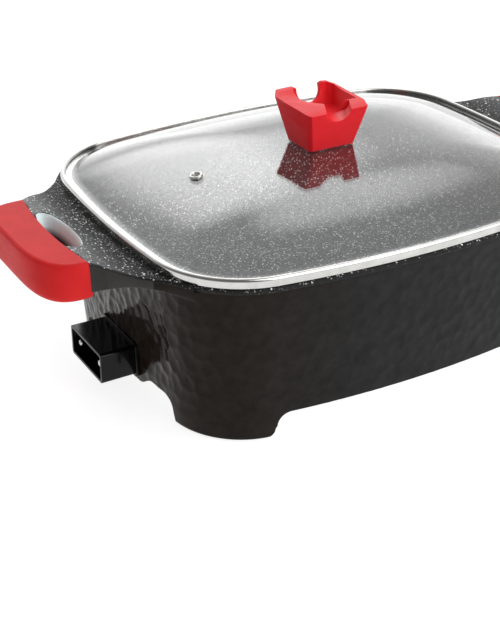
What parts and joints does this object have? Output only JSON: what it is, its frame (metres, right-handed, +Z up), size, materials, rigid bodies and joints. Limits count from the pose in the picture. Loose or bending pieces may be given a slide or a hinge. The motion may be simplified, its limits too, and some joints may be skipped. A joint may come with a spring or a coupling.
{
  "type": "electric skillet",
  "caption": "Deep cast electric skillet on corner legs with sealed element, plug-in control inlet, silicone side grips and a lift-off domed glass lid with spoon-rest knob.",
  "frame": {"origin": "on the table under the middle of the pan", "axes": "+Z up, X from handle to handle with the control inlet at -X, front long side towards -Y"},
  "size_m": [0.552, 0.328, 0.2107],
  "materials": {
    "coated_casting": "dark non-stick coating with fine pale specks; hammered facets outside",
    "grip_silicone": "satin red silicone",
    "foot_rubber": "matte black",
    "inlet_plastic": "glossy black heat-proof plastic",
    "white_ceramic": "unglazed white",
    "pin_nickel": "bright nickel plate",
    "brass": "plain",
    "screw_steel": "zinc plated",
    "element_sheath": "oxidised heating sheath",
    "plated_sheet": "aluminised sheet",
    "lid_glass": "clear tempered glass",
    "rim_steel": "polished satin",
    "knob_silicone": "satin red silicone",
    "gasket_silicone": "soft grey-black"
  },
  "bodies": {
    "skillet": {"pan_casting": "coated_casting", "grip_left": "grip_silicone", "grip_right": "grip_silicone", "foot_pad_front_left": "foot_rubber", "foot_pad_front_right": "foot_rubber", "foot_pad_back_left": "foot_rubber", "foot_pad_back_right": "foot_rubber", "inlet_housing": "inlet_plastic", "inlet_collar": "inlet_plastic", "terminal_block": "white_ceramic", "terminal_pin_line": "pin_nickel", "terminal_pin_neutral": "pin_nickel", "end_seal_line": "white_ceramic", "end_seal_neutral": "white_ceramic", "probe_sleeve": "brass", "inlet_screws": "screw_steel", "heating_element": "element_sheath", "element_clamps": "plated_sheet", "clamp_screws": "screw_steel", "heat_shield": "plated_sheet", "shield_spacers": "plated_sheet", "bottom_cover": "plated_sheet", "cover_screws": "screw_steel"},
    "lid": {"lid_glass": "lid_glass", "lid_rim": "rim_steel", "vent_eyelet": "rim_steel", "knob": "knob_silicone", "knob_insert": "brass", "knob_gasket": "gasket_silicone", "lower_gasket": "gasket_silicone", "screw_washer": "screw_steel", "knob_screw": "screw_steel"}
  },
  "joints": [
    {"name": "lid_lift", "type": "slide", "parent": "skillet", "child": "lid", "axis": [0, 0, 1], "range_m": [0, 0.15]}
  ]
}
